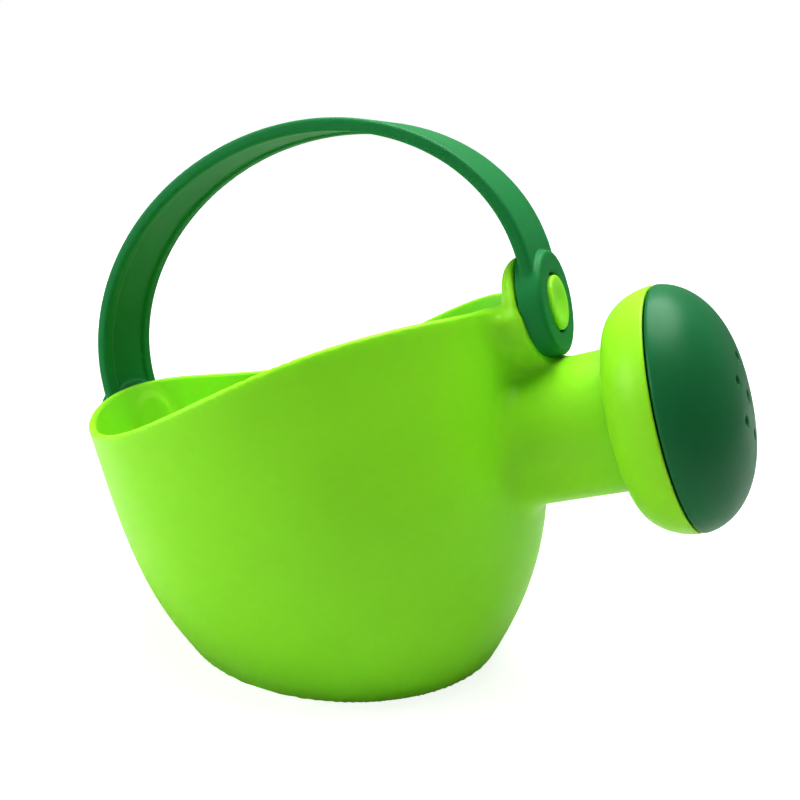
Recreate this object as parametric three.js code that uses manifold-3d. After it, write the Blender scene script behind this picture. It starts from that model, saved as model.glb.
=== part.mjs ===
// A child's watering can: a leaning bowl with a wavy rim and a short neck, a sprinkler head pushed over the
// neck, and a strap handle that swings on two snap pins.
// Millimetres and degrees. +X is towards the sprinkler, +Z is up, and the origin is in the flat base, below
// the middle of the bowl.
import * as THREE from "three";
import { mergeVertices } from "three/addons/utils/BufferGeometryUtils.js";
import Module from "manifold-3d";

const wasm = await Module();
wasm.setup();

const radians = THREE.MathUtils.degToRad;

// ---- Driving dimensions ----

const FIT_GAP = 0.3; // between pieces that touch
const WALL = 2.4;
const FLOOR = 2.6; // its upright edge is the can's foot
const FOOT_INSET = 1.2; // from the bowl's side at that height

// The bowl is turned about an axis that leans back, and the ground cuts it off flat.
const LEAN = radians(18.6);
const AXIS_FOOT = 12.5; // where that axis meets the ground, ahead of the origin
const BOWL_BOTTOM = -20; // heights along the leaning axis; the lowest part is cut away
const BOWL_TOP = 120;
const BOWL_RADII = [31.3, 84.8, 65.5, 76.3]; // control radii of the side, evenly spaced in height
const RIM_HEIGHT = 95.7;
const RIM_WAVES = [3.2, 2.9, -3.5]; // the rim's rise at the front, dip at the sides and sway
const WAVE_START = 50; // below this height the bowl is plainly round
const BOWL_SIDES = 60; // flats round a turned bowl or sprinkler half
const ROSE_SIDES = 44;

// The spout axis, in the leaning frame: the seam is where the sprinkler's two halves meet.
const SPOUT_RISE = radians(1.7);
const SEAM_REACH = 114.4;
const SEAM_HEIGHT = 59.2;
const NECK_RADIUS = 21;
const NECK_LENGTH = 52;
const ROSE_RADIUS = 35.5;
const HOUSING_DEPTH = 14;
const HOUSING_FLAT_RADIUS = 26.3;
const HOUSING_CURVE = 1.9; // 2 is an ellipse
const COLLAR_DEPTH = 8;
const DOME_HEIGHT = 18.5;
const DOME_CURVE = [1.85, 2.66]; // powers along the axis and across it
const SKIRT_RADIUS = 32; // clear of the housing's rounded inside
const SKIRT_DEPTH = 3.6;
const HOLE_RADIUS = 1.5;
const HOLE_RING = 11; // the ring of spray holes round the middle one
const HOLE_COUNT = 6;
const HOLE_TURN = 0.95; // of the step between two holes

// The pivot axis, in the leaning frame: it runs front to back, and the handle is built on it.
const PIVOT_TILT = radians(3.8);
const PIVOT_REACH = 3.1;
const PIVOT_HEIGHT = 90.3;
const FRONT_FACE = 76.6; // the bosses' faces, along the pivot axis
const REAR_FACE = -76.1;
const EYE_RADIUS = 15.5;
const EYE_THICKNESS = 7.1;
const FACE_CANT = radians(5); // the eyes' and buttons' outer faces stand further out at the top
const EAR_RADIUS = 16.2;
const EAR_ROUNDING = 4.4;
const EAR_BACK = 71.2; // the part above the rim stands outside the bowl
const EAR_ROOT = 68.5; // below the rim it joins the wall
const EAR_ROOT_HEIGHT = 95; // along the leaning axis, just under the rim
const REAR_BOSS_RADIUS = 12;
const REAR_SOCKET_RADIUS = 8; // the thicker wall that holds the rear pin
const REAR_SOCKET_BACK = -72.2;
const STRAP_WIDTH = 25;
const STRAP_THICKNESS = 4;
const ARCH_CENTRE = [1.3, 12.8]; // along and above the pivot axis
const ARCH_SPAN = 79.8;
const ARCH_RISE = 61.8;
const ARCH_ROLL = radians(4.2);
const PIN_RADIUS = 4.8;
const FRONT_PIN_DEPTH = 6.3; // into the bosses
const REAR_PIN_DEPTH = 2.2;
const BUTTON_RADIUS = 8.1;
const BUTTON_PROUD = 0.9;
const BUTTON_RECESS = 3.5;
const BUTTON_CLEARANCE = 0.7;
const DISH_RADIUS = 5.9;
const DISH_DEPTH = 0.9;

// ---- Materials ----

function plastic(color, roughness) {
  return new THREE.MeshStandardMaterial({ color, roughness, metalness: 0 });
}

const LIME = "#7dd330";
const DARK_GREEN = "#2a6e40";

// ---- Solids ----

// A closed geometry as a solid, with the slivers where a lathe meets its axis left out.
function solidOf(geometry) {
  const bare = geometry.index ? geometry.toNonIndexed() : geometry.clone();
  bare.deleteAttribute("normal");
  bare.deleteAttribute("uv");
  const merged = mergeVertices(bare, 1e-3);
  const corners = merged.index.array;
  const kept = [];
  for (let i = 0; i < corners.length; i += 3) {
    const [a, b, c] = corners.subarray(i, i + 3);
    if (a !== b && b !== c && c !== a) kept.push(a, b, c);
  }
  return new wasm.Manifold(
    new wasm.Mesh({
      numProp: 3,
      vertProperties: merged.attributes.position.array,
      triVerts: new Uint32Array(kept),
    }),
  );
}

function meshOf(solid, name, material) {
  const made = solid.getMesh();
  const geometry = new THREE.BufferGeometry();
  geometry.setAttribute("position", new THREE.BufferAttribute(made.vertProperties, 3));
  geometry.setIndex(new THREE.BufferAttribute(made.triVerts, 1));
  geometry.computeVertexNormals();
  const mesh = new THREE.Mesh(geometry, material);
  mesh.name = name;
  return mesh;
}

// A profile of [radius, height] pairs turned about +Z.
function turned(profile, segments = 48) {
  const points = profile.map(([radius, height]) => new THREE.Vector2(radius, height));
  return new THREE.LatheGeometry(points, segments).rotateX(Math.PI / 2);
}

// A round bar along +Z from one height to another.
function bar(radius, from, to, segments = 32) {
  return turned([[0, from], [radius, from], [radius, to], [0, to]], segments);
}

// Count + 1 values of a function, evenly spaced from one value to another.
function sampled(from, to, count, f) {
  return Array.from({ length: count + 1 }, (_, i) => f(from + ((to - from) * i) / count));
}

// ---- Frames ----

// The leaning frame's +Z is the bowl's axis and its +X points at the spout.
const leaningFrame = new THREE.Matrix4()
  .makeRotationY(-LEAN)
  .setPosition(AXIS_FOOT, 0, 0);
const groundInLeaning = leaningFrame.clone().invert();

// The spout frame's +Z runs out along the spout, from the middle of the seam.
const spoutInLeaning = new THREE.Matrix4()
  .makeRotationY(Math.PI / 2 - SPOUT_RISE)
  .setPosition(SEAM_REACH, 0, SEAM_HEIGHT);

// The pivot frame's +X is the pivot axis and its +Z points up through the handle.
const pivotInLeaning = new THREE.Matrix4()
  .makeRotationY(-PIVOT_TILT)
  .setPosition(PIVOT_REACH, 0, PIVOT_HEIGHT);
const alongPivot = new THREE.Matrix4().makeRotationY(Math.PI / 2);

// ---- The can's body ----

const bowlSide = new THREE.CubicBezierCurve(
  ...BOWL_RADII.map(
    (radius, i) => new THREE.Vector2(radius, THREE.MathUtils.lerp(BOWL_BOTTOM, BOWL_TOP, i / 3)),
  ),
);

function bowlRadius(height) {
  return bowlSide.getPoint((height - BOWL_BOTTOM) / (BOWL_TOP - BOWL_BOTTOM)).x;
}

// How far the rim stands above its mean height, at an angle from the spout.
function rimWave(angle) {
  return RIM_WAVES.reduce((sum, wave, i) => sum + wave * Math.cos((i + 1) * angle), 0);
}

// Lifts the upper part of a turned bowl so that its rim follows the wave.
function waved(geometry) {
  const position = geometry.attributes.position;
  const point = new THREE.Vector3();
  for (let i = 0; i < position.count; i++) {
    point.fromBufferAttribute(position, i);
    const radius = Math.hypot(point.x, point.y);
    const share = THREE.MathUtils.smoothstep(point.z, WAVE_START, RIM_HEIGHT);
    const height = point.z + share * rimWave(Math.atan2(point.y, point.x));
    const grown = 1 + (bowlRadius(height) - bowlRadius(point.z)) / radius;
    position.setXYZ(i, point.x * grown, point.y * grown, height);
  }
  return geometry;
}

function bowlWall() {
  const lip = WALL / 2;
  const top = RIM_HEIGHT - lip;
  const outside = sampled(BOWL_BOTTOM, top, 10, (h) => [bowlRadius(h), h]);
  const rounding = sampled(0, Math.PI, 4, (turn) => [
    bowlRadius(top) - lip + lip * Math.cos(turn),
    top + lip * Math.sin(turn),
  ]).slice(1, -1);
  const inside = sampled(top, BOWL_BOTTOM, 10, (h) => [bowlRadius(h) - WALL, h]);
  const section = [...outside, ...rounding, ...inside, outside[0]];
  return solidOf(waved(turned(section, BOWL_SIDES)));
}

// The space above the ground, in the leaning frame.
function aboveGround() {
  const box = new THREE.BoxGeometry(400, 400, 200).translate(0, 0, 100);
  return solidOf(box.applyMatrix4(groundInLeaning));
}

// How far from the middle of the base the bowl's side is, at floor height and an angle from the spout.
function sideReach(angle) {
  const point = new THREE.Vector3();
  let [near, far] = [0, BOWL_TOP];
  while (far - near > 1e-4) {
    const reach = (near + far) / 2;
    point.set(reach * Math.cos(angle), reach * Math.sin(angle), FLOOR).applyMatrix4(groundInLeaning);
    if (Math.hypot(point.x, point.y) < bowlRadius(point.z)) near = reach;
    else far = reach;
  }
  return near;
}

// The floor: a flat plate whose outline follows the bowl's side.
function bowlFloor() {
  const geometry = turned([[0, 0], [1, 0], [1, FLOOR], [0, FLOOR]], BOWL_SIDES);
  const position = geometry.attributes.position;
  for (let i = 0; i < position.count; i++) {
    const [x, y] = [position.getX(i), position.getY(i)];
    const angle = Math.atan2(y, x);
    const reach = Math.hypot(x, y) * (sideReach(angle) - FOOT_INSET);
    position.setXYZ(i, reach * Math.cos(angle), reach * Math.sin(angle), position.getZ(i));
  }
  return solidOf(geometry.applyMatrix4(groundInLeaning));
}

// The rounded boss that carries the front pin. Its upper part stands above the rim as an ear.
function frontEar() {
  const belowRim = new THREE.BoxGeometry(400, 400, 400).translate(0, 0, EAR_ROOT_HEIGHT - 200);
  const root = pivotBar(EAR_RADIUS, EAR_ROOT, EAR_BACK + EAR_ROUNDING).intersect(solidOf(belowRim));
  const rounding = sampled(0, Math.PI / 2, 4, (turn) => [
    EAR_RADIUS - EAR_ROUNDING * (1 - Math.sin(turn)),
    EAR_BACK + EAR_ROUNDING * (1 - Math.cos(turn)),
  ]);
  const profile = [[0, EAR_BACK], ...rounding, [EAR_RADIUS, FRONT_FACE], [0, FRONT_FACE]];
  const ear = solidOf(turned(profile, 32).applyMatrix4(alongPivot).applyMatrix4(pivotInLeaning));
  return ear.add(root);
}

// A bar along the pivot axis, in the leaning frame.
function pivotBar(radius, from, to) {
  return solidOf(bar(radius, from, to).applyMatrix4(alongPivot).applyMatrix4(pivotInLeaning));
}

function canBody() {
  const neckRoot = -(NECK_LENGTH + COLLAR_DEPTH);
  const neck = solidOf(bar(NECK_RADIUS, neckRoot, -COLLAR_DEPTH, 40).applyMatrix4(spoutInLeaning));
  const neckBore = solidOf(
    bar(NECK_RADIUS - WALL, neckRoot - WALL, 1 - COLLAR_DEPTH, 40).applyMatrix4(spoutInLeaning),
  );
  const hollow = [[0, BOWL_BOTTOM], ...sampled(BOWL_BOTTOM, BOWL_TOP, 14, (h) => [bowlRadius(h) - WALL, h]),
    [0, BOWL_TOP]];
  const outerNeck = neck.subtract(solidOf(turned(hollow, BOWL_SIDES)));
  const bore = PIN_RADIUS + FIT_GAP;
  return bowlWall()
    .intersect(aboveGround())
    .add(bowlFloor())
    .add(outerNeck)
    .subtract(neckBore)
    .add(frontEar())
    .add(pivotBar(REAR_BOSS_RADIUS, REAR_FACE, REAR_FACE + 2))
    .add(pivotBar(REAR_SOCKET_RADIUS, REAR_FACE + 1, REAR_SOCKET_BACK))
    .subtract(pivotBar(bore, FRONT_FACE - FRONT_PIN_DEPTH - FIT_GAP, FRONT_FACE + 1))
    .subtract(pivotBar(bore, REAR_FACE - 1, REAR_FACE + REAR_PIN_DEPTH + FIT_GAP));
}

// ---- The sprinkler head, in the spout frame ----

function roseHousing() {
  const grip = NECK_RADIUS + FIT_GAP;
  const back = (inset) =>
    sampled(0, Math.PI / 2, 7, (turn) => [
      HOUSING_FLAT_RADIUS - inset / 2 +
        (ROSE_RADIUS - HOUSING_FLAT_RADIUS - inset / 2) * Math.sin(turn) ** (2 / HOUSING_CURVE),
      -(HOUSING_DEPTH - inset) * Math.cos(turn) ** (2 / HOUSING_CURVE),
    ]);
  const outside = back(0);
  const inside = back(WALL).reverse();
  const collar = [
    [grip + WALL, WALL - HOUSING_DEPTH],
    [grip + WALL, 2 - COLLAR_DEPTH],
    [grip, 2 - COLLAR_DEPTH],
    [grip, -HOUSING_DEPTH],
  ];
  return solidOf(turned([[grip, -HOUSING_DEPTH], ...outside, ...inside, ...collar], ROSE_SIDES));
}

function domeProfile(radius, height, count) {
  const [along, across] = DOME_CURVE;
  return sampled(0, 1, count, (turn) => {
    const rise = Math.sin((turn * Math.PI) / 2);
    return [radius * (1 - rise ** along) ** (1 / across), height * rise];
  });
}

// Where the spray holes are: one in the middle and a ring round it.
function holeCentres() {
  const ring = Array.from({ length: HOLE_COUNT }, (_, i) => {
    const angle = ((i + HOLE_TURN) * 2 * Math.PI) / HOLE_COUNT;
    return [HOLE_RING * Math.cos(angle), HOLE_RING * Math.sin(angle)];
  });
  return [[0, 0], ...ring];
}

function roseFace() {
  const outside = domeProfile(ROSE_RADIUS, DOME_HEIGHT, 9).map(([r, z]) => [r, z + FIT_GAP]);
  const inside = domeProfile(SKIRT_RADIUS - WALL, DOME_HEIGHT - WALL, 7).reverse();
  const profile = [...outside, ...inside, [SKIRT_RADIUS - WALL, -SKIRT_DEPTH],
    [SKIRT_RADIUS, -SKIRT_DEPTH], [SKIRT_RADIUS, FIT_GAP], outside[0]];
  const hole = solidOf(bar(HOLE_RADIUS, 0, 2 * DOME_HEIGHT, 8));
  return holeCentres().reduce(
    (face, [x, y]) => face.subtract(hole.translate(x, y, 0)),
    solidOf(turned(profile, ROSE_SIDES)),
  );
}

// ---- The handle, in the pivot frame ----

// The side view of the strap: an arch between two short legs, and its thickness.
function strapOutline() {
  const half = STRAP_THICKNESS / 2;
  const plumb = Math.atan((ARCH_RISE / ARCH_SPAN) * Math.tan(ARCH_ROLL));
  const edge = (offset, clockwise) => {
    const [from, to] = [-plumb, Math.PI - plumb];
    const arch = new THREE.EllipseCurve(
      ...ARCH_CENTRE, ARCH_SPAN + offset, ARCH_RISE + offset,
      clockwise ? to : from, clockwise ? from : to, clockwise, ARCH_ROLL,
    );
    return arch.getPoints(36);
  };
  const outer = edge(half, false);
  const inner = edge(-half, true);
  const foot = (point) => new THREE.Vector2(point.x, 0);
  return new THREE.Shape([
    foot(outer[0]), ...outer, foot(outer.at(-1)),
    foot(inner[0]), ...inner, foot(inner.at(-1)),
  ]);
}

// A bar of an eye, between two distances along the pivot axis; side is 1 in front and -1 at the rear.
function eyeBar(radius, inner, outer, side) {
  const [from, to] = [side * inner, side * outer].sort((a, b) => a - b);
  return solidOf(bar(radius, from, to, 40).applyMatrix4(alongPivot));
}

// Everything beyond a canted plane that crosses the pivot axis at that reach.
function beyondFace(reach, side) {
  const space = new THREE.BoxGeometry(60, 60, 60)
    .translate(side * 30, 0, 0)
    .rotateY(side * FACE_CANT)
    .translate(side * reach, 0, 0);
  return solidOf(space);
}

function handle() {
  const strap = new THREE.ExtrudeGeometry(strapOutline(), { depth: STRAP_WIDTH, bevelEnabled: false })
    .translate(0, 0, -STRAP_WIDTH / 2)
    .rotateX(Math.PI / 2);
  let made = solidOf(strap);
  for (const [side, face] of [[1, FRONT_FACE], [-1, -REAR_FACE]]) {
    const inner = face + FIT_GAP;
    const outer = inner + EYE_THICKNESS;
    made = made
      .add(eyeBar(EYE_RADIUS, inner, outer + 2, side))
      .subtract(beyondFace(outer, side))
      .subtract(eyeBar(BUTTON_RADIUS + BUTTON_CLEARANCE, outer - BUTTON_RECESS, outer + 2, side))
      .subtract(eyeBar(PIN_RADIUS + FIT_GAP, inner - 1, outer, side));
  }
  return made;
}

// A snap pin along +X from its boss, with a canted and dished round head; x is 0 at the boss's face.
function pivotButton(depth) {
  const shoulder = 2 * FIT_GAP + EYE_THICKNESS - BUTTON_RECESS;
  const head = BUTTON_RECESS + BUTTON_PROUD - FIT_GAP;
  const bevel = 0.8;
  const dish = sampled(0, 1, 4, (u) => [DISH_RADIUS * (1 - u), head - DISH_DEPTH * (1 - (1 - u) ** 2)]);
  const profile = [[0, -2], [BUTTON_RADIUS, -2], [BUTTON_RADIUS, head - bevel], [BUTTON_RADIUS - bevel, head],
    ...dish];
  const canted = turned(profile, 28).applyMatrix4(alongPivot).rotateY(FACE_CANT).translate(shoulder, 0, 0);
  const clear = new THREE.BoxGeometry(20, 40, 40).translate(shoulder + 10, 0, 0);
  const pin = bar(PIN_RADIUS, -depth, shoulder + 1, 28).applyMatrix4(alongPivot);
  return solidOf(canted).intersect(solidOf(clear)).add(solidOf(pin));
}

// ---- Assembly ----

const watering_can = new THREE.Group();

const leaning = new THREE.Group();
leaning.applyMatrix4(leaningFrame);
leaning.add(meshOf(canBody(), "can_body", plastic(LIME, 0.35)));
watering_can.add(leaning);

const spout = new THREE.Group();
spout.applyMatrix4(spoutInLeaning);
spout.add(meshOf(roseHousing(), "rose_housing", plastic(LIME, 0.35)));
spout.add(meshOf(roseFace(), "rose_face", plastic(DARK_GREEN, 0.35)));
leaning.add(spout);

const pivot = new THREE.Group();
pivot.applyMatrix4(pivotInLeaning);
pivot.add(meshOf(handle(), "handle", plastic(DARK_GREEN, 0.4)));
const frontButton = meshOf(pivotButton(FRONT_PIN_DEPTH), "front_pivot_button", plastic(LIME, 0.35));
frontButton.position.x = FRONT_FACE;
const rearButton = meshOf(pivotButton(REAR_PIN_DEPTH), "rear_pivot_button", plastic(LIME, 0.35));
rearButton.position.x = REAR_FACE;
rearButton.rotation.z = Math.PI;
pivot.add(frontButton, rearButton);
leaning.add(pivot);

export default watering_can;
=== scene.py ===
"""The looks of a child's watering can.

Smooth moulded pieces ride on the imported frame, with their plastics and a studio.
"""
import itertools
import math

import bpy
import numpy as np
from mathutils import Matrix, Vector


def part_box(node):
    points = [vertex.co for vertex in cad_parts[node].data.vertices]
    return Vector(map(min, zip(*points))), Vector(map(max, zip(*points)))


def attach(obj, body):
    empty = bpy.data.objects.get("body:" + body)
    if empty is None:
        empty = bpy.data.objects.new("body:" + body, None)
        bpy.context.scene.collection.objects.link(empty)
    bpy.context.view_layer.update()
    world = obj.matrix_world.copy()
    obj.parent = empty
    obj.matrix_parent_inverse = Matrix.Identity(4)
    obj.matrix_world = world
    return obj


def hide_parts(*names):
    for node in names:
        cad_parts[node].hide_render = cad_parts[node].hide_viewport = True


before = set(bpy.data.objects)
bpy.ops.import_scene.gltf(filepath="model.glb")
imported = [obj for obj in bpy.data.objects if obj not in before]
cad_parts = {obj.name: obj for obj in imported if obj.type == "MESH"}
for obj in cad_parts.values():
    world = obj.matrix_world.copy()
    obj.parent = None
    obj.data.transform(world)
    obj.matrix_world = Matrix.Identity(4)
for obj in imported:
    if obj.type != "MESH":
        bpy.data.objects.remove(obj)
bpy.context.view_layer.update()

MM = 0.001
rad = math.radians

# ---- Driving dimensions, in millimetres. Only the strap's hollow is not in the CAD source. ----

FIT_GAP = 0.3
WALL = 2.4
FLOOR = 2.6  # its upright edge is the can's foot
FOOT_INSET = 1.2  # from the bowl's side at that height

LEAN = rad(18.6)
AXIS_FOOT = 12.5
BOWL_BOTTOM, BOWL_TOP = -20, 120
BOWL_RADII = (31.3, 84.8, 65.5, 76.3)
RIM_HEIGHT = 95.7
RIM_WAVES = (3.2, 2.9, -3.5)

SPOUT_RISE = rad(1.7)
SEAM_REACH, SEAM_HEIGHT = 114.4, 59.2
NECK_RADIUS = 21
NECK_LENGTH = 52
ROSE_RADIUS = 35.5
HOUSING_DEPTH = 14
HOUSING_FLAT_RADIUS = 26.3
HOUSING_CURVE = 1.9
COLLAR_DEPTH = 8
DOME_HEIGHT = 18.5
DOME_CURVE = (1.85, 2.66)
SKIRT_RADIUS = 32
SKIRT_DEPTH = 3.6
HOLE_RADIUS = 1.5
HOLE_RING = 11
HOLE_COUNT = 6  # round one in the middle
HOLE_TURN = 0.95  # of the step between two holes

PIVOT_TILT = rad(3.8)
PIVOT_REACH, PIVOT_HEIGHT = 3.1, 90.3
FRONT_FACE, REAR_FACE = 76.6, -76.1
EYE_RADIUS = 15.5
EYE_THICKNESS = 7.1
FACE_CANT = rad(5)  # the eyes' and buttons' outer faces stand further out at the top
EAR_RADIUS = 16.2
EAR_BACK = 71.2
EAR_ROOT = 68.5
EAR_ROOT_HEIGHT = 95
REAR_BOSS_RADIUS = 12
REAR_SOCKET_RADIUS = 8
REAR_SOCKET_BACK = -72.2
STRAP_WIDTH = 25
STRAP_THICKNESS = 4
STRAP_CHANNEL = 0.8  # how deep its inner face is hollowed
STRAP_EDGE = 3.5  # how wide its raised edges are
ARCH_CENTRE = (1.3, 12.8)
ARCH_SPAN, ARCH_RISE = 79.8, 61.8
ARCH_ROLL = rad(4.2)
PIN_RADIUS = 4.8
FRONT_PIN_DEPTH = 6.3
REAR_PIN_DEPTH = 2.2
BUTTON_RADIUS = 8.1
BUTTON_PROUD = 0.9
BUTTON_RECESS = 3.5
BUTTON_CLEARANCE = 0.7
DISH_RADIUS = 5.9
DISH_DEPTH = 0.9


# ---- Frames: each one is turned about Y and placed in its parent ----

def placing(turn, x, z):
    return Matrix.Translation((x, 0, z)) @ Matrix.Rotation(turn, 4, "Y")


LEANING = placing(-LEAN, AXIS_FOOT, 0)
SPOUT = LEANING @ placing(math.pi / 2 - SPOUT_RISE, SEAM_REACH, SEAM_HEIGHT)
PIVOT = LEANING @ placing(-PIVOT_TILT, PIVOT_REACH, PIVOT_HEIGHT)


def inside_frame(place, x, z):
    """World x and z in the frame of that placing; y stays as it is."""
    back = place.inverted()
    return (
        back[0][0] * x + back[0][2] * z + back[0][3],
        back[2][0] * x + back[2][2] * z + back[2][3],
    )


# ---- Distances: below 0 inside a solid. A blend is how wide the fillet or rounding is. ----

def union(a, b, blend=0.0):
    if not blend:
        return np.minimum(a, b)
    near = np.maximum(blend - abs(a - b), 0) / blend
    return np.minimum(a, b) - near * near * blend / 4


def common(a, b, blend=0.0):
    return -union(-a, -b, blend)


def cut(a, b, blend=0.0):
    return -union(-a, b, blend)


def bar(across, along, radius, low, high, edge):
    """A round bar with rounded ends; across is the distance from its axis."""
    side = across - radius + edge
    end = abs(along - (low + high) / 2) - (high - low) / 2 + edge
    outside = np.hypot(np.maximum(side, 0), np.maximum(end, 0))
    return outside + np.minimum(np.maximum(side, end), 0) - edge


def canted(along, up):
    """Those two coordinates in the frame of a face that is canted about the pivot frame's Y."""
    return (
        along * math.cos(FACE_CANT) - up * math.sin(FACE_CANT),
        up * math.cos(FACE_CANT) + along * math.sin(FACE_CANT),
    )


def bowl_radius(height):
    t = (height - BOWL_BOTTOM) / (BOWL_TOP - BOWL_BOTTOM)
    weights = ((1 - t) ** 3, 3 * t * (1 - t) ** 2, 3 * t * t * (1 - t), t**3)
    return sum(r * w for r, w in zip(BOWL_RADII, weights))


def bowl_slope(height):
    t = (height - BOWL_BOTTOM) / (BOWL_TOP - BOWL_BOTTOM)
    a, b, c = np.diff(BOWL_RADII)
    return 3 * (a * (1 - t) ** 2 + 2 * b * t * (1 - t) + c * t * t) / (BOWL_TOP - BOWL_BOTTOM)


def rim_wave(angle):
    return sum(wave * np.cos((i + 1) * angle) for i, wave in enumerate(RIM_WAVES))


def foot_distance(x, y, z):
    """A plate as thick as the floor, whose upright edge follows the bowl's side."""
    lean_x, lean_z = inside_frame(LEANING, x, FLOOR)
    side = np.hypot(lean_x, y) - bowl_radius(lean_z) + FOOT_INSET
    return common(side, abs(z - FLOOR / 2) - FLOOR / 2, 0.5)


def with_bosses(body, pivot_x, across, lean_z):
    """The front ear and its root below the rim, then the rear boss and the socket inside it."""
    ear = common(across - EAR_RADIUS, pivot_x - FRONT_FACE, 1.2)
    ear_root = common(common(ear, lean_z - EAR_ROOT_HEIGHT, 3), EAR_ROOT - pivot_x, 2)
    body = union(body, ear_root, 7)
    body = union(body, common(ear, EAR_BACK - pivot_x, 7), 3)
    body = union(body, bar(across, pivot_x, REAR_BOSS_RADIUS, REAR_FACE, REAR_FACE + 3, 0.5), 2)
    return union(body, bar(across, pivot_x, REAR_SOCKET_RADIUS, REAR_FACE + 1, REAR_SOCKET_BACK, 0.9), 4)


def with_pin_bores(body, pivot_x, across):
    radius = PIN_RADIUS + FIT_GAP
    front_end = FRONT_FACE - FRONT_PIN_DEPTH - FIT_GAP
    rear_end = REAR_FACE + REAR_PIN_DEPTH + FIT_GAP
    body = cut(body, bar(across, pivot_x, radius, front_end, FRONT_FACE + 5, 0.1))
    return cut(body, bar(across, pivot_x, radius, REAR_FACE - 5, rear_end, 0.1))


def body_distance(x, y, z):
    lean_x, lean_z = inside_frame(LEANING, x, z)
    spout_x, spout_z = inside_frame(SPOUT, x, z)
    pivot_x, pivot_z = inside_frame(PIVOT, x, z)
    lip = RIM_HEIGHT - WALL / 2 + rim_wave(np.arctan2(y, lean_x))
    level = np.clip(lean_z, BOWL_BOTTOM, lip)
    steep = 1 / np.sqrt(1 + bowl_slope(level) ** 2)
    outside = (np.hypot(lean_x, y) - bowl_radius(level)) * steep
    middle = outside + WALL / 2 * steep
    wall = np.hypot(middle, np.maximum(lean_z - lip, 0)) - WALL / 2 * steep
    body = common(wall, -z, 0.5)
    inner_floor = np.maximum(middle + WALL / 2, abs(z - FLOOR / 2) - FLOOR / 2)
    body = union(union(body, inner_floor, 3), foot_distance(x, y, z), 0.3)

    neck_across = np.hypot(spout_x, y)
    root = -(NECK_LENGTH + COLLAR_DEPTH)
    neck = bar(neck_across, spout_z, NECK_RADIUS, root, -COLLAR_DEPTH, 0.8)
    neck = np.maximum(neck, -(outside + WALL * steep))
    body = union(body, neck, 5)

    across = np.hypot(y, pivot_z)
    body = with_bosses(body, pivot_x, across, lean_z)
    bore = np.maximum(neck_across - NECK_RADIUS + WALL, root - WALL - spout_z)
    return with_pin_bores(cut(body, bore, 1), pivot_x, across)


def arch_offset(x, z):
    """How far a point in the pivot frame is outside the middle of the strap; the legs run straight down."""
    u = (x - ARCH_CENTRE[0]) * math.cos(ARCH_ROLL) + (z - ARCH_CENTRE[1]) * math.sin(ARCH_ROLL)
    v = (z - ARCH_CENTRE[1]) * math.cos(ARCH_ROLL) - (x - ARCH_CENTRE[0]) * math.sin(ARCH_ROLL)
    q = np.sqrt((u / ARCH_SPAN) ** 2 + (v / ARCH_RISE) ** 2) + 1e-9
    arch = (q - 1) * q / (np.hypot(u / ARCH_SPAN**2, v / ARCH_RISE**2) + 1e-9)
    reach = math.hypot(ARCH_SPAN * math.cos(ARCH_ROLL), ARCH_RISE * math.sin(ARCH_ROLL))
    lift = (ARCH_SPAN**2 - ARCH_RISE**2) * math.sin(ARCH_ROLL) * math.cos(ARCH_ROLL) / reach
    out = x - ARCH_CENTRE[0]
    leg = abs(out) - reach
    return np.where(z - ARCH_CENTRE[1] < np.sign(out) * lift, leg, arch)


def handle_distance(x, y, z):
    """In the pivot frame."""
    offset = arch_offset(x, z)
    side = abs(y) - STRAP_WIDTH / 2
    hollow = STRAP_CHANNEL * np.clip((-side - STRAP_EDGE) / 1.5, 0, 1) ** 2
    inner = -offset - STRAP_THICKNESS / 2 + hollow
    outer = offset - STRAP_THICKNESS / 2
    strap = common(common(inner, outer), side, 1.6)
    made = np.maximum(strap, -z)
    across = np.hypot(y, z)
    for sign, face in ((1, FRONT_FACE), (-1, -REAR_FACE)):
        along = sign * x
        low = face + FIT_GAP
        high = low + EYE_THICKNESS
        eye = bar(across, along, EYE_RADIUS, low, high + 6, 0.7)
        eye = common(eye, canted(along - high, z)[0], 1.6)
        made = union(made, eye, 0.8)
        recess = bar(across, along, BUTTON_RADIUS + BUTTON_CLEARANCE, high - BUTTON_RECESS, high + 9, 0.2)
        made = cut(made, recess, 0.6)
        made = cut(made, bar(across, along, PIN_RADIUS + FIT_GAP, low - 9, high + 9, 0.1), 0.3)
    return made


def button_distance(depth):
    """A snap pin along X from its boss, with a canted and dished round head."""
    shoulder = 2 * FIT_GAP + EYE_THICKNESS - BUTTON_RECESS
    head = BUTTON_RECESS + BUTTON_PROUD - FIT_GAP

    def distance(x, y, z):
        along, up = canted(x - shoulder, z)
        across = np.hypot(y, up)
        crown = bar(across, along, BUTTON_RADIUS, -2, head, 1.1)
        dish = head - DISH_DEPTH * np.clip(1 - (across / DISH_RADIUS) ** 2, 0, 1)
        crown = common(crown, along - dish, 0.5)
        crown = common(crown, shoulder - x, 0.3)
        return np.minimum(crown, bar(np.hypot(y, z), x, PIN_RADIUS, -depth, shoulder + 1, 0.5))

    return distance


def hole_centres():
    yield 0, 0
    for i in range(HOLE_COUNT):
        angle = (i + HOLE_TURN) * 2 * math.pi / HOLE_COUNT
        yield HOLE_RING * math.cos(angle), HOLE_RING * math.sin(angle)


def dome(across, along, radius, height):
    """The distance from a dome whose side view is a rounded ellipse."""
    rise, reach = DOME_CURVE
    r = across / radius
    h = np.maximum(along, 1e-3) / height
    level = h**rise + r**reach - 1
    steep = np.hypot(rise * h ** (rise - 1) / height, reach * r ** (reach - 1) / radius)
    return level / (steep + 1e-6)


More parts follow.
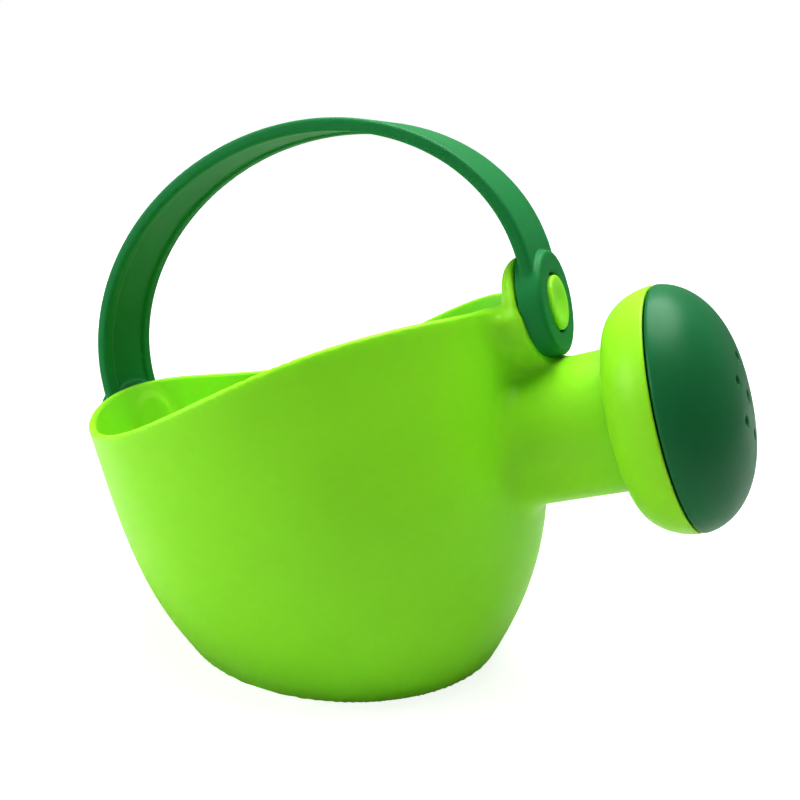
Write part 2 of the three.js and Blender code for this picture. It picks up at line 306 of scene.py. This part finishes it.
def face_distance(x, y, z):
    """In the spout frame, where z is 0 at the seam."""
    across = np.hypot(x, y)
    shell = cut(dome(across, z - FIT_GAP, ROSE_RADIUS, DOME_HEIGHT),
                dome(across, z - FIT_GAP, SKIRT_RADIUS - WALL, DOME_HEIGHT - WALL))
    shell = common(shell, FIT_GAP - z, 1.2)
    ring = abs(across - SKIRT_RADIUS + WALL / 2) - WALL / 2
    skirt = common(ring, abs(z) - SKIRT_DEPTH, 0.6)
    face = union(shell, skirt, 0.4)
    for centre_x, centre_y in hole_centres():
        hole = np.hypot(x - centre_x, y - centre_y) - HOLE_RADIUS
        face = cut(face, np.maximum(hole, 2 - z), 0.5)
    return face


# ---- Meshes ----

CORNERS = list(itertools.product((0, 1), repeat=3))  # of a grid cell


def gradient(distance, points, reach=0.03):
    steps = np.eye(3) * reach
    return np.stack([
        (distance(*(points + s).T) - distance(*(points - s).T)) / (2 * reach) for s in steps
    ], axis=1)


def onto_surface(distance, points, rounds):
    """Each point moved along the slope to the surface, by about 0.7 mm a round at most."""
    for _ in range(rounds):
        slope = gradient(distance, points)
        size = np.maximum((slope * slope).sum(1), 0.05)
        points = points - np.clip(distance(*points.T) / size, -0.7, 0.7)[:, None] * slope
    return points


def relaxed(points, quads):
    """Each vertex moved halfway to the mean of its neighbours."""
    edges = np.concatenate([quads[:, [i, (i + 1) % 4]] for i in range(4)])
    total = np.zeros_like(points)
    count = np.zeros(len(points))
    np.add.at(total, edges[:, 0], points[edges[:, 1]])
    np.add.at(count, edges[:, 0], 1)
    return (points + total / count[:, None]) / 2


def at_corners(grid):
    """The grid's values at each corner of its cells."""
    size = [n - 1 for n in grid.shape]
    return [grid[tuple(slice(o, o + n) for o, n in zip(corner, size))] for corner in CORNERS]


def crossings(values):
    """Where each cell's edges cross 0 on average, in grid steps from the cell's first corner."""
    total = np.zeros((len(values[0]), 3))
    count = np.zeros(len(values[0]))
    for i, j in itertools.combinations(range(len(CORNERS)), 2):
        a, b = np.array(CORNERS[i]), np.array(CORNERS[j])
        if abs(a - b).sum() == 1:
            crossed = (values[i] < 0) != (values[j] < 0)
            share = values[i][crossed] / (values[i][crossed] - values[j][crossed])
            total[crossed] += a + share[:, None] * (b - a)
            count[crossed] += 1
    return total / count[:, None]


def cell_quads(solid, number):
    """A quad that faces out for each grid edge that leaves the solid, joining the four cells round it."""
    quads = []
    for axis in range(3):
        ahead = [slice(1, -1)] * 3
        ahead[axis] = slice(0, -1)
        here = solid[tuple(ahead)]
        ahead[axis] = slice(1, None)
        there = solid[tuple(ahead)]
        edge = np.argwhere(here != there)
        entering = there[tuple(edge.T)]
        edge += [0 if i == axis else 1 for i in range(3)]
        u, v = (axis + 1) % 3, (axis + 2) % 3
        ring = []
        for back_u, back_v in ((1, 1), (0, 1), (0, 0), (1, 0)):
            cell = edge.copy()
            cell[:, u] -= back_u
            cell[:, v] -= back_v
            ring.append(number[tuple(cell.T)])
        ring = np.stack(ring, axis=1)
        ring[entering] = ring[entering][:, ::-1]
        quads.append(ring)
    return np.concatenate(quads)


def netted(distance, low, high, step):
    """Vertices and quads of the surface where a distance is 0.

    Each grid cell that the surface crosses holds one vertex.
    """
    axes = [np.arange(a - 2.2 * step, b + 3 * step, step) for a, b in zip(low, high)]
    field = distance(*np.meshgrid(*axes, indexing="ij", sparse=True)).astype(np.float32)
    solid = field < 0
    filled = sum(corner.astype(np.int8) for corner in at_corners(solid))
    cells = (filled > 0) & (filled < len(CORNERS))
    number = np.full(cells.shape, -1)
    number[cells] = np.arange(cells.sum())
    places = np.argwhere(cells) + crossings([corner[cells] for corner in at_corners(field)])
    points = np.stack([axes[i][0] + places[:, i] * step for i in range(3)], axis=1)
    return points, cell_quads(solid, number)


def placed(points, place):
    matrix = np.array(place)
    return points @ matrix[:3, :3].T + matrix[:3, 3]


def new_object(name, points, faces, normals=None):
    mesh = bpy.data.meshes.new(name)
    mesh.from_pydata(points * MM, [], faces)
    mesh.validate()
    mesh.shade_smooth()
    if normals is not None:
        mesh.normals_split_custom_set_from_vertices(normals)
    made = bpy.data.objects.new(name, mesh)
    bpy.context.scene.collection.objects.link(made)
    return made


def moulded(name, distance, place, low, high, step):
    """A closed mesh of a solid given by its distance in the frame of that placing."""
    points, quads = netted(distance, low, high, step)
    for _ in range(2):
        points = onto_surface(distance, relaxed(points, quads), 2)
    points = onto_surface(distance, points, 2)
    normals = gradient(distance, points)
    normals /= np.linalg.norm(normals, axis=1)[:, None]
    turn = Matrix(place).to_3x3()
    return new_object(name, placed(points, place), quads.tolist(), normals @ np.array(turn).T)


def turned(name, profile, place, sides=160):
    """A closed outline of (radius, height) pairs turned about the Z axis of that placing."""
    outline = np.array(profile, float)
    count = len(outline)
    angles = np.arange(sides) * 2 * math.pi / sides
    points = np.stack([
        np.outer(np.cos(angles), outline[:, 0]),
        np.outer(np.sin(angles), outline[:, 0]),
        np.tile(outline[:, 1], (sides, 1)),
    ], axis=-1).reshape(-1, 3)
    faces = [
        (i * count + j, (i + 1) % sides * count + j,
         (i + 1) % sides * count + (j + 1) % count, i * count + (j + 1) % count)
        for i in range(sides) for j in range(count)
    ]
    return new_object(name, placed(points, place), faces)


def arc(centre, radius, start, end, count=6):
    """Points on a circular arc of a profile, with angles in degrees."""
    return [
        (centre[0] + radius * math.cos(rad(a)), centre[1] + radius * math.sin(rad(a)))
        for a in np.linspace(start, end, count + 1)
    ]


def sprinkler_housing():
    grip = NECK_RADIUS + FIT_GAP
    edge = 0.6

    def back(inset, turn):
        power = 2 / HOUSING_CURVE
        return (
            HOUSING_FLAT_RADIUS - inset / 2
            + (ROSE_RADIUS - HOUSING_FLAT_RADIUS - inset / 2) * math.sin(turn) ** power,
            -(HOUSING_DEPTH - inset) * math.cos(turn) ** power,
        )

    turns = np.linspace(0, rad(86.5), 26)
    outside = [back(0, t) for t in turns]
    rim = arc((ROSE_RADIUS - edge, -edge), edge, 0, 90)
    inside = [back(WALL, t) for t in reversed(turns)]
    collar = [
        *arc((grip + WALL - 0.5, 1.5 - COLLAR_DEPTH), 0.5, 0, 90, 3),
        *arc((grip + 0.5, 1.5 - COLLAR_DEPTH), 0.5, 90, 180, 3),
    ]
    mouth = arc((grip + 0.6, -HOUSING_DEPTH + 0.6), 0.6, 180, 270, 4)
    profile = [*mouth, *outside, *rim, *inside, (grip + WALL, WALL - HOUSING_DEPTH), *collar]
    return turned("sprinkler_housing", profile, SPOUT)


# ---- Plastics ----

def plastic(name, colour, shade, roughness, gloss, scatter=0.0, scatter_radius=(0.3, 1.0, 0.4)):
    """Moulded plastic with a fine orange-peel skin.

    Its colour drifts at random towards the shade, pales at convex edges with a painted highlight and edge
    wear, and its gloss is uneven.
    """
    material = bpy.data.materials.new(name)
    material.use_nodes = True
    nodes, links = material.node_tree.nodes, material.node_tree.links
    shader = nodes["Principled BSDF"]
    shader.inputs["Specular IOR Level"].default_value = gloss
    shader.inputs["IOR"].default_value = 1.49
    shader.inputs["Subsurface Weight"].default_value = scatter
    shader.inputs["Subsurface Radius"].default_value = scatter_radius
    shader.inputs["Subsurface Scale"].default_value = 0.004
    place = nodes.new("ShaderNodeTexCoord").outputs["Object"]

    def noise(scale, detail, rough=0.5):
        node = nodes.new("ShaderNodeTexNoise")
        node.inputs["Scale"].default_value = scale
        node.inputs["Detail"].default_value = detail
        node.inputs["Roughness"].default_value = rough
        links.new(place, node.inputs["Vector"])
        return node.outputs["Fac"]

    def between(value, low, high, to_low, to_high):
        node = nodes.new("ShaderNodeMapRange")
        for socket, number in zip(("From Min", "From Max", "To Min", "To Max"), (low, high, to_low, to_high)):
            node.inputs[socket].default_value = number
        links.new(value, node.inputs["Value"])
        return node.outputs["Result"]

    def mixed(share, low, high):
        node = nodes.new("ShaderNodeMix")
        node.data_type = "RGBA"
        links.new(share, node.inputs["Factor"])
        for socket, value in (("A", low), ("B", high)):
            target = next(i for i in node.inputs if i.identifier == socket + "_Color")
            if isinstance(value, tuple):
                target.default_value = (*value, 1)
            else:
                links.new(value, target)
        return next(o for o in node.outputs if o.identifier == "Result_Color")

    drift = mixed(between(noise(22, 3), 0.35, 0.65, 0, 1), shade, colour)
    # Convex edges pale towards a lighter copy of the colour: a painted highlight, like the light caught on
    # the lip, and edge wear.
    edge = nodes.new("ShaderNodeNewGeometry").outputs["Pointiness"]
    pale = tuple(min(1, c * 1.25 + 0.02) for c in colour)
    worn_and_lit_edges = mixed(between(edge, 0.54, 0.64, 0, 0.5), drift, pale)
    links.new(worn_and_lit_edges, shader.inputs["Base Color"])
    uneven = between(noise(90, 4, 0.6), 0.3, 0.7, roughness - 0.04, roughness + 0.05)
    links.new(uneven, shader.inputs["Roughness"])
    skin = nodes.new("ShaderNodeBump")
    skin.inputs["Strength"].default_value = 0.05
    skin.inputs["Distance"].default_value = 0.0004
    links.new(noise(700, 2), skin.inputs["Height"])
    links.new(skin.outputs["Normal"], shader.inputs["Normal"])
    return material


LIME = plastic(
    "lime plastic", (0.355, 0.79, 0.034), (0.33, 0.75, 0.029),
    roughness=0.38, gloss=0.25, scatter=0.5, scatter_radius=(0.6, 1.0, 0.15))
GREEN = plastic(
    "dark green plastic", (0.015, 0.180, 0.062), (0.012, 0.160, 0.052), roughness=0.38, gloss=0.22)
STRAP_GREEN = plastic(
    "handle plastic", (0.018, 0.250, 0.072), (0.015, 0.225, 0.062), roughness=0.5, gloss=0.18)


def finished(piece, body, node, material):
    piece.data.materials.append(material)
    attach(piece, body)
    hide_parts(node)


# ---- The pieces ----

def millimetres(node):
    low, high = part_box(node)
    return np.array(low) / MM, np.array(high) / MM


def can_shell():
    low, high = millimetres("can_body")
    return moulded("can_shell", body_distance, Matrix(), low, high, step=1.1)


def sprinkler_face():
    reach = ROSE_RADIUS + 1
    low = (-reach, -reach, -SKIRT_DEPTH)
    high = (reach, reach, DOME_HEIGHT + 1)
    return moulded("sprinkler_face", face_distance, SPOUT, low, high, step=0.7)


def carry_handle():
    reach = ARCH_SPAN + STRAP_THICKNESS + 2
    low = (-reach, -EYE_RADIUS, -EYE_RADIUS)
    high = (reach, EYE_RADIUS, ARCH_CENTRE[1] + ARCH_RISE + STRAP_THICKNESS + 2)
    return moulded("carry_handle", handle_distance, PIVOT, low, high, step=0.8)


def pivot_button(name, face, turn, depth):
    """A pin in the boss whose face is there; the turn about Z points its head outwards."""
    reach = BUTTON_RADIUS + 1
    place = PIVOT @ Matrix.Translation((face, 0, 0)) @ Matrix.Rotation(turn, 4, "Z")
    low = (-depth, -reach, -reach)
    high = (EYE_THICKNESS + BUTTON_PROUD + 2, reach, reach)
    return moulded(name, button_distance(depth), place, low, high, step=0.45)


finished(can_shell(), "can", "can_body", LIME)
finished(sprinkler_housing(), "can", "rose_housing", LIME)
finished(sprinkler_face(), "can", "rose_face", GREEN)
finished(carry_handle(), "handle", "handle", STRAP_GREEN)
for name, face, turn, depth in (
    ("front", FRONT_FACE, 0, FRONT_PIN_DEPTH),
    ("rear", REAR_FACE, math.pi, REAR_PIN_DEPTH),
):
    button = pivot_button(f"{name}_button", face, turn, depth)
    finished(button, "can", f"{name}_pivot_button", LIME)


# ---- Studio ----

FLOOR_SHADE = 0.3
FLOOR_GLOW = (0.85, 1.0)  # near the object and far off
GLOW_REACH = (0.3, 0.9)  # metres from the middle where the glow starts and stops rising
BOUNCE_SHADE = 0.68
BOUNCE_DEPTH = 0.0003  # metres below the floor
PLANE_REACH = 30
BACKDROP_REACH = 29
BACKDROP_SIDES = 48
BACKDROP_HEIGHTS = (-1, 40)
WORLD_STRENGTH = 0.33
LIT_POINT = Vector((0, 0, 0.08))
GAMMA = 0.8


def plain_material(name, colour, glow=0.0):
    material = bpy.data.materials.new(name)
    material.use_nodes = True
    shader = material.node_tree.nodes["Principled BSDF"]
    shader.inputs["Base Color"].default_value = (*colour, 1)
    shader.inputs["Roughness"].default_value = 0.9
    shader.inputs["Emission Color"].default_value = (1, 1, 1, 1)
    shader.inputs["Emission Strength"].default_value = glow
    return material


def level_plane(name, height, material):
    signs = ((-1, -1), (1, -1), (1, 1), (-1, 1))
    corners = np.array([(x * PLANE_REACH, y * PLANE_REACH, height) for x, y in signs], float) / MM
    made = new_object(name, corners, [(0, 1, 2, 3)])
    made.data.materials.append(material)
    return made


def floor():
    """A pale floor that only the camera sees. It glows, so that it runs on into the backdrop."""
    material = plain_material("pale floor", (FLOOR_SHADE,) * 3)
    nodes, links = material.node_tree.nodes, material.node_tree.links
    place = nodes.new("ShaderNodeTexCoord").outputs["Object"]
    length = nodes.new("ShaderNodeVectorMath")
    length.operation = "LENGTH"
    links.new(place, length.inputs[0])
    glow = nodes.new("ShaderNodeMapRange")
    glow.interpolation_type = "SMOOTHSTEP"
    glow.inputs["From Min"].default_value, glow.inputs["From Max"].default_value = GLOW_REACH
    glow.inputs["To Min"].default_value, glow.inputs["To Max"].default_value = FLOOR_GLOW
    links.new(length.outputs["Value"], glow.inputs["Value"])
    links.new(glow.outputs["Result"], nodes["Principled BSDF"].inputs["Emission Strength"])
    made = level_plane("floor", 0, material)
    made.visible_diffuse = False
    made.visible_glossy = False
    made.visible_shadow = False


def floor_bounce():
    """What the object sees of the floor: it sends a little light back up."""
    material = plain_material("floor bounce", (BOUNCE_SHADE,) * 3)
    made = level_plane("floor_bounce", -BOUNCE_DEPTH, material)
    made.visible_camera = False


def backdrop():
    """A white wall all round, which only the camera sees."""
    sides, reach = BACKDROP_SIDES, BACKDROP_REACH
    ring = [(math.cos(i * 2 * math.pi / sides), math.sin(i * 2 * math.pi / sides)) for i in range(sides)]
    points = np.array([(x * reach, y * reach, z) for z in BACKDROP_HEIGHTS for x, y in ring], float) / MM
    faces = [(i, (i + 1) % sides, sides + (i + 1) % sides, sides + i) for i in range(sides)]
    made = new_object("backdrop", points, faces)
    made.data.materials.append(plain_material("backdrop white", (0, 0, 0), 1.0))
    made.visible_diffuse = False
    made.visible_glossy = False
    made.visible_transmission = False
    made.visible_shadow = False


def soft_light(name, place, size, watts):
    """A white disc that faces the object."""
    light = bpy.data.lights.new(name, "AREA")
    light.shape = "DISK"
    light.size = size
    light.energy = watts
    made = bpy.data.objects.new(name, light)
    made.location = place
    made.rotation_mode = "QUATERNION"
    made.rotation_quaternion = (LIT_POINT - Vector(place)).to_track_quat("-Z", "Y")
    bpy.context.scene.collection.objects.link(made)


def studio():
    floor()
    floor_bounce()
    backdrop()
    world = bpy.data.worlds.new("studio")
    bpy.context.scene.world = world
    world.use_nodes = True
    background = world.node_tree.nodes["Background"]
    background.inputs["Color"].default_value = (1, 1, 1, 1)
    background.inputs["Strength"].default_value = WORLD_STRENGTH
    soft_light("top softbox", (0, 0.25, 1.2), 1.2, 26)
    soft_light("left fill", (-1.0, -0.6, 0.5), 0.7, 7.5)
    settings = bpy.context.scene.view_settings
    settings.view_transform = "Standard"
    settings.look = "None"
    settings.gamma = GAMMA


# ---- Camera ----

SENSOR_WIDTH, LENS = 36, 43.39
CAMERA_TURNS = rad(23.32), rad(14.465), rad(3.5)  # yaw, pitch and roll
CAMERA_DISTANCE = 0.3079
CAMERA_TARGET = Vector((0.01624, 0, 0.08122))


def camera():
    data = bpy.data.cameras.new("camera")
    data.sensor_width = SENSOR_WIDTH
    data.lens = LENS
    data.clip_start = 0.01
    made = bpy.data.objects.new("camera", data)
    bpy.context.scene.collection.objects.link(made)
    yaw, pitch, roll = CAMERA_TURNS
    level = Vector((math.cos(yaw), math.sin(yaw), 0))
    ahead = Vector((-math.sin(yaw) * math.cos(pitch), math.cos(yaw) * math.cos(pitch), -math.sin(pitch)))
    upright = level.cross(ahead)
    right = math.cos(roll) * level + math.sin(roll) * upright
    up = math.cos(roll) * upright - math.sin(roll) * level
    place = Matrix((right, up, -ahead)).transposed().to_4x4()
    place.translation = CAMERA_TARGET - CAMERA_DISTANCE * ahead
    made.matrix_world = place
    bpy.context.scene.camera = made


studio()
camera()
